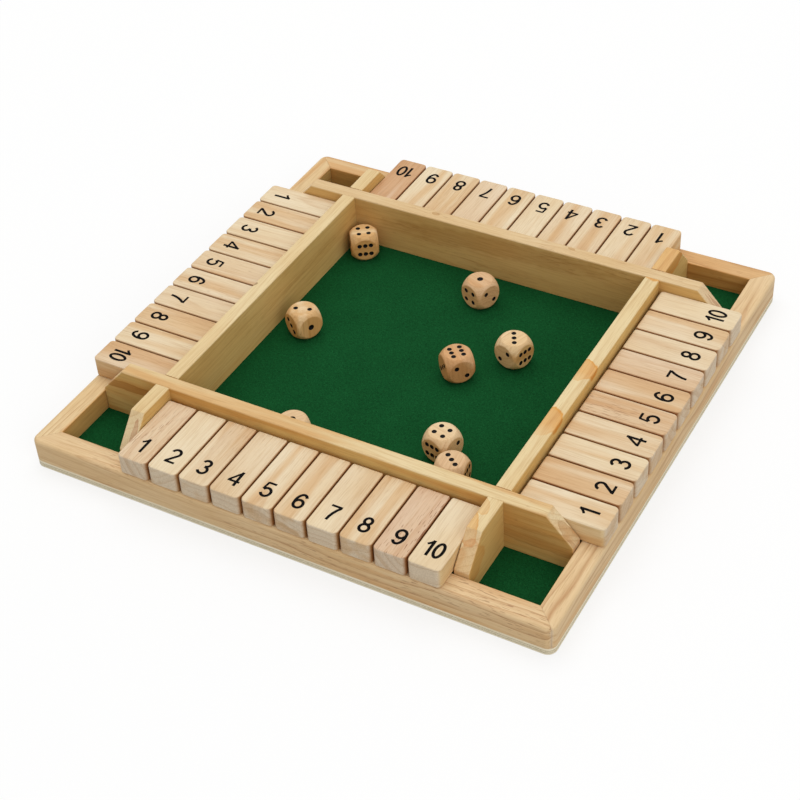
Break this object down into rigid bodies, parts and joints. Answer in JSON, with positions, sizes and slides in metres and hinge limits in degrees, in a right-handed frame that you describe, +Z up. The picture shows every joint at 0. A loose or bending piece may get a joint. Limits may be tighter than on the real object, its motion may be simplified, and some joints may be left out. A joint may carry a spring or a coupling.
{
  "type": "four-player shut the box game",
  "caption": "Square wooden dice game: felt floor, low outer frame, crossed inner rails and four racks of hinged number tiles, with loose dice.",
  "frame": {"origin": "middle of the base panel's underside", "axes": "+Z up out of the board; -Y towards the near player, whose rack reads 1 to 10 along +X"},
  "size_m": [0.33, 0.33, 0.0397],
  "materials": {
    "pine_rail": "smooth bare pine, planed and sanded",
    "pine_tile": "smooth bare pine, sanded, printed numerals",
    "plywood": "bare plywood",
    "felt": "short-napped green felt",
    "rod_steel": "drawn steel rod",
    "die_wood": "tumbled bare beech, drilled black pips"
  },
  "bodies": {
    "root": {"base_panel": "plywood", "felt_lining": "felt", "outer_frame": "pine_rail", "inner_rail_near": "pine_rail", "inner_rail_right": "pine_rail", "inner_rail_far": "pine_rail", "inner_rail_left": "pine_rail", "hinge_rod_near": "rod_steel", "hinge_rod_right": "rod_steel", "hinge_rod_far": "rod_steel", "hinge_rod_left": "rod_steel"},
    "tile_near_01": {"tile_near_01": "pine_tile"},
    "tile_near_02": {"tile_near_02": "pine_tile"},
    "tile_near_03": {"tile_near_03": "pine_tile"},
    "tile_near_04": {"tile_near_04": "pine_tile"},
    "tile_near_05": {"tile_near_05": "pine_tile"},
    "tile_near_06": {"tile_near_06": "pine_tile"},
    "tile_near_07": {"tile_near_07": "pine_tile"},
    "tile_near_08": {"tile_near_08": "pine_tile"},
    "tile_near_09": {"tile_near_09": "pine_tile"},
    "tile_near_10": {"tile_near_10": "pine_tile"},
    "tile_right_01": {"tile_right_01": "pine_tile"},
    "tile_right_02": {"tile_right_02": "pine_tile"},
    "tile_right_03": {"tile_right_03": "pine_tile"},
    "tile_right_04": {"tile_right_04": "pine_tile"},
    "tile_right_05": {"tile_right_05": "pine_tile"},
    "tile_right_06": {"tile_right_06": "pine_tile"},
    "tile_right_07": {"tile_right_07": "pine_tile"},
    "tile_right_08": {"tile_right_08": "pine_tile"},
    "tile_right_09": {"tile_right_09": "pine_tile"},
    "tile_right_10": {"tile_right_10": "pine_tile"},
    "tile_far_01": {"tile_far_01": "pine_tile"},
    "tile_far_02": {"tile_far_02": "pine_tile"},
    "tile_far_03": {"tile_far_03": "pine_tile"},
    "tile_far_04": {"tile_far_04": "pine_tile"},
    "tile_far_05": {"tile_far_05": "pine_tile"},
    "tile_far_06": {"tile_far_06": "pine_tile"},
    "tile_far_07": {"tile_far_07": "pine_tile"},
    "tile_far_08": {"tile_far_08": "pine_tile"},
    "tile_far_09": {"tile_far_09": "pine_tile"},
    "tile_far_10": {"tile_far_10": "pine_tile"},
    "tile_left_01": {"tile_left_01": "pine_tile"},
    "tile_left_02": {"tile_left_02": "pine_tile"},
    "tile_left_03": {"tile_left_03": "pine_tile"},
    "tile_left_04": {"tile_left_04": "pine_tile"},
    "tile_left_05": {"tile_left_05": "pine_tile"},
    "tile_left_06": {"tile_left_06": "pine_tile"},
    "tile_left_07": {"tile_left_07": "pine_tile"},
    "tile_left_08": {"tile_left_08": "pine_tile"},
    "tile_left_09": {"tile_left_09": "pine_tile"},
    "tile_left_10": {"tile_left_10": "pine_tile"},
    "die_1": {"die_1": "die_wood"},
    "die_2": {"die_2": "die_wood"},
    "die_3": {"die_3": "die_wood"},
    "die_4": {"die_4": "die_wood"},
    "die_5": {"die_5": "die_wood"},
    "die_6": {"die_6": "die_wood"},
    "die_7": {"die_7": "die_wood"},
    "die_8": {"die_8": "die_wood"}
  },
  "joints": [
    {"name": "tile_near_01_hinge", "type": "hinge", "parent": "root", "child": "tile_near_01", "pos_m": [0, -0.121, 0.0263], "axis": [-1, 0, 0], "range_deg": [0, 103]},
    {"name": "tile_near_02_hinge", "type": "hinge", "parent": "root", "child": "tile_near_02", "pos_m": [0, -0.121, 0.0263], "axis": [-1, 0, 0], "range_deg": [0, 103]},
    {"name": "tile_near_03_hinge", "type": "hinge", "parent": "root", "child": "tile_near_03", "pos_m": [0, -0.121, 0.0263], "axis": [-1, 0, 0], "range_deg": [0, 103]},
    {"name": "tile_near_04_hinge", "type": "hinge", "parent": "root", "child": "tile_near_04", "pos_m": [0, -0.121, 0.0263], "axis": [-1, 0, 0], "range_deg": [0, 103]},
    {"name": "tile_near_05_hinge", "type": "hinge", "parent": "root", "child": "tile_near_05", "pos_m": [0, -0.121, 0.0263], "axis": [-1, 0, 0], "range_deg": [0, 103]},
    {"name": "tile_near_06_hinge", "type": "hinge", "parent": "root", "child": "tile_near_06", "pos_m": [0, -0.121, 0.0263], "axis": [-1, 0, 0], "range_deg": [0, 103]},
    {"name": "tile_near_07_hinge", "type": "hinge", "parent": "root", "child": "tile_near_07", "pos_m": [0, -0.121, 0.0263], "axis": [-1, 0, 0], "range_deg": [0, 103]},
    {"name": "tile_near_08_hinge", "type": "hinge", "parent": "root", "child": "tile_near_08", "pos_m": [0, -0.121, 0.0263], "axis": [-1, 0, 0], "range_deg": [0, 103]},
    {"name": "tile_near_09_hinge", "type": "hinge", "parent": "root", "child": "tile_near_09", "pos_m": [0, -0.121, 0.0263], "axis": [-1, 0, 0], "range_deg": [0, 103]},
    {"name": "tile_near_10_hinge", "type": "hinge", "parent": "root", "child": "tile_near_10", "pos_m": [0, -0.121, 0.0263], "axis": [-1, 0, 0], "range_deg": [0, 103]},
    {"name": "tile_right_01_hinge", "type": "hinge", "parent": "root", "child": "tile_right_01", "pos_m": [0.121, 0, 0.0263], "axis": [0, -1, 0], "range_deg": [0, 103]},
    {"name": "tile_right_02_hinge", "type": "hinge", "parent": "root", "child": "tile_right_02", "pos_m": [0.121, 0, 0.0263], "axis": [0, -1, 0], "range_deg": [0, 103]},
    {"name": "tile_right_03_hinge", "type": "hinge", "parent": "root", "child": "tile_right_03", "pos_m": [0.121, 0, 0.0263], "axis": [0, -1, 0], "range_deg": [0, 103]},
    {"name": "tile_right_04_hinge", "type": "hinge", "parent": "root", "child": "tile_right_04", "pos_m": [0.121, 0, 0.0263], "axis": [0, -1, 0], "range_deg": [0, 103]},
    {"name": "tile_right_05_hinge", "type": "hinge", "parent": "root", "child": "tile_right_05", "pos_m": [0.121, 0, 0.0263], "axis": [0, -1, 0], "range_deg": [0, 103]},
    {"name": "tile_right_06_hinge", "type": "hinge", "parent": "root", "child": "tile_right_06", "pos_m": [0.121, 0, 0.0263], "axis": [0, -1, 0], "range_deg": [0, 103]},
    {"name": "tile_right_07_hinge", "type": "hinge", "parent": "root", "child": "tile_right_07", "pos_m": [0.121, 0, 0.0263], "axis": [0, -1, 0], "range_deg": [0, 103]},
    {"name": "tile_right_08_hinge", "type": "hinge", "parent": "root", "child": "tile_right_08", "pos_m": [0.121, 0, 0.0263], "axis": [0, -1, 0], "range_deg": [0, 103]},
    {"name": "tile_right_09_hinge", "type": "hinge", "parent": "root", "child": "tile_right_09", "pos_m": [0.121, 0, 0.0263], "axis": [0, -1, 0], "range_deg": [0, 103]},
    {"name": "tile_right_10_hinge", "type": "hinge", "parent": "root", "child": "tile_right_10", "pos_m": [0.121, 0, 0.0263], "axis": [0, -1, 0], "range_deg": [0, 103]},
    {"name": "tile_far_01_hinge", "type": "hinge", "parent": "root", "child": "tile_far_01", "pos_m": [0, 0.121, 0.0263], "axis": [1, 0, 0], "range_deg": [0, 103]},
    {"name": "tile_far_02_hinge", "type": "hinge", "parent": "root", "child": "tile_far_02", "pos_m": [0, 0.121, 0.0263], "axis": [1, 0, 0], "range_deg": [0, 103]},
    {"name": "tile_far_03_hinge", "type": "hinge", "parent": "root", "child": "tile_far_03", "pos_m": [0, 0.121, 0.0263], "axis": [1, 0, 0], "range_deg": [0, 103]},
    {"name": "tile_far_04_hinge", "type": "hinge", "parent": "root", "child": "tile_far_04", "pos_m": [0, 0.121, 0.0263], "axis": [1, 0, 0], "range_deg": [0, 103]},
    {"name": "tile_far_05_hinge", "type": "hinge", "parent": "root", "child": "tile_far_05", "pos_m": [0, 0.121, 0.0263], "axis": [1, 0, 0], "range_deg": [0, 103]},
    {"name": "tile_far_06_hinge", "type": "hinge", "parent": "root", "child": "tile_far_06", "pos_m": [0, 0.121, 0.0263], "axis": [1, 0, 0], "range_deg": [0, 103]},
    {"name": "tile_far_07_hinge", "type": "hinge", "parent": "root", "child": "tile_far_07", "pos_m": [0, 0.121, 0.0263], "axis": [1, 0, 0], "range_deg": [0, 103]},
    {"name": "tile_far_08_hinge", "type": "hinge", "parent": "root", "child": "tile_far_08", "pos_m": [0, 0.121, 0.0263], "axis": [1, 0, 0], "range_deg": [0, 103]},
    {"name": "tile_far_09_hinge", "type": "hinge", "parent": "root", "child": "tile_far_09", "pos_m": [0, 0.121, 0.0263], "axis": [1, 0, 0], "range_deg": [0, 103]},
    {"name": "tile_far_10_hinge", "type": "hinge", "parent": "root", "child": "tile_far_10", "pos_m": [0, 0.121, 0.0263], "axis": [1, 0, 0], "range_deg": [0, 103]},
    {"name": "tile_left_01_hinge", "type": "hinge", "parent": "root", "child": "tile_left_01", "pos_m": [-0.121, 0, 0.0263], "axis": [0, 1, 0], "range_deg": [0, 103]},
    {"name": "tile_left_02_hinge", "type": "hinge", "parent": "root", "child": "tile_left_02", "pos_m": [-0.121, 0, 0.0263], "axis": [0, 1, 0], "range_deg": [0, 103]},
    {"name": "tile_left_03_hinge", "type": "hinge", "parent": "root", "child": "tile_left_03", "pos_m": [-0.121, 0, 0.0263], "axis": [0, 1, 0], "range_deg": [0, 103]},
    {"name": "tile_left_04_hinge", "type": "hinge", "parent": "root", "child": "tile_left_04", "pos_m": [-0.121, 0, 0.0263], "axis": [0, 1, 0], "range_deg": [0, 103]},
    {"name": "tile_left_05_hinge", "type": "hinge", "parent": "root", "child": "tile_left_05", "pos_m": [-0.121, 0, 0.0263], "axis": [0, 1, 0], "range_deg": [0, 103]},
    {"name": "tile_left_06_hinge", "type": "hinge", "parent": "root", "child": "tile_left_06", "pos_m": [-0.121, 0, 0.0263], "axis": [0, 1, 0], "range_deg": [0, 103]},
    {"name": "tile_left_07_hinge", "type": "hinge", "parent": "root", "child": "tile_left_07", "pos_m": [-0.121, 0, 0.0263], "axis": [0, 1, 0], "range_deg": [0, 103]},
    {"name": "tile_left_08_hinge", "type": "hinge", "parent": "root", "child": "tile_left_08", "pos_m": [-0.121, 0, 0.0263], "axis": [0, 1, 0], "range_deg": [0, 103]},
    {"name": "tile_left_09_hinge", "type": "hinge", "parent": "root", "child": "tile_left_09", "pos_m": [-0.121, 0, 0.0263], "axis": [0, 1, 0], "range_deg": [0, 103]},
    {"name": "tile_left_10_hinge", "type": "hinge", "parent": "root", "child": "tile_left_10", "pos_m": [-0.121, 0, 0.0263], "axis": [0, 1, 0], "range_deg": [0, 103]},
    {"name": "die_1_lift", "type": "slide", "parent": "root", "child": "die_1", "axis": [0, 0, 1], "range_m": [0, 0.06]},
    {"name": "die_2_lift", "type": "slide", "parent": "root", "child": "die_2", "axis": [0, 0, 1], "range_m": [0, 0.06]},
    {"name": "die_3_lift", "type": "slide", "parent": "root", "child": "die_3", "axis": [0, 0, 1], "range_m": [0, 0.06]},
    {"name": "die_4_lift", "type": "slide", "parent": "root", "child": "die_4", "axis": [0, 0, 1], "range_m": [0, 0.06]},
    {"name": "die_5_lift", "type": "slide", "parent": "root", "child": "die_5", "axis": [0, 0, 1], "range_m": [0, 0.06]},
    {"name": "die_6_lift", "type": "slide", "parent": "root", "child": "die_6", "axis": [0, 0, 1], "range_m": [0, 0.06]},
    {"name": "die_7_lift", "type": "slide", "parent": "root", "child": "die_7", "axis": [0, 0, 1], "range_m": [0, 0.06]},
    {"name": "die_8_lift", "type": "slide", "parent": "root", "child": "die_8", "axis": [0, 0, 1], "range_m": [0, 0.06]}
  ]
}
